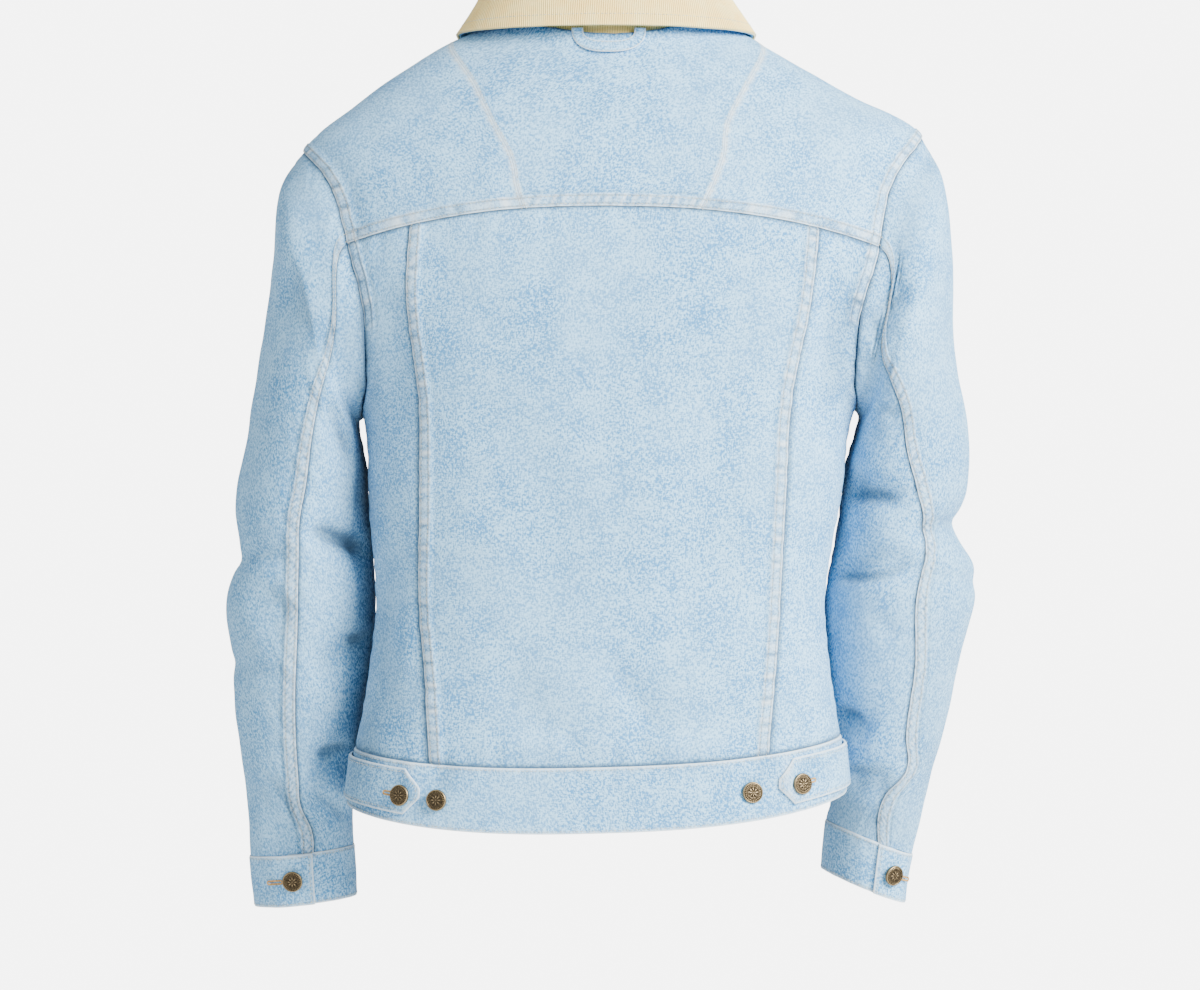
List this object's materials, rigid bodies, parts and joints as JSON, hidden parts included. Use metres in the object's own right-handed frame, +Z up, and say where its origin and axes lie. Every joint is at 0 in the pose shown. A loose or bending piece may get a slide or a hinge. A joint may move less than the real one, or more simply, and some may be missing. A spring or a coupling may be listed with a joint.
{
  "type": "denim jacket",
  "caption": "Waist-length denim jacket, worn, back view: yoke, seamed back and sleeves, waistband with button tabs, buttoned cuffs and a corduroy collar turned down.",
  "frame": {"origin": "centre of the neck opening, at the height of the back neck seam, where the jacket is held on the neck of a wearer or a hanger", "axes": "+Z up along the wearer's spine, +X to the wearer's left, -Y to the buttoned front, +Y to the back that the picture shows"},
  "size_m": [0.612, 0.2541, 0.7649],
  "materials": {
    "denim": "washed light-blue denim twill",
    "corduroy": "cream fine-wale corduroy",
    "brass": "aged antique brass"
  },
  "bodies": {
    "root": {"back_center": "denim", "back_side_left": "denim", "back_side_right": "denim", "button_cuff_left": "brass", "button_cuff_right": "brass", "button_front_1": "brass", "button_front_2": "brass", "button_front_3": "brass", "button_front_4": "brass", "button_front_5": "brass", "button_front_waist": "brass", "button_waist_spare_left": "brass", "button_waist_spare_right": "brass", "button_waist_tab_left": "brass", "button_waist_tab_right": "brass", "collar_top": "corduroy", "collar_under": "denim", "cuff_left": "denim", "cuff_right": "denim", "front_left": "denim", "front_placket": "denim", "front_right": "denim", "hanger_loop": "denim", "sleeve_under_left": "denim", "sleeve_under_right": "denim", "sleeve_upper_left": "denim", "sleeve_upper_right": "denim", "waist_tab_left": "denim", "waist_tab_right": "denim", "waistband": "denim", "yoke_center": "denim", "yoke_side_left": "denim", "yoke_side_right": "denim"}
  },
  "joints": []
}
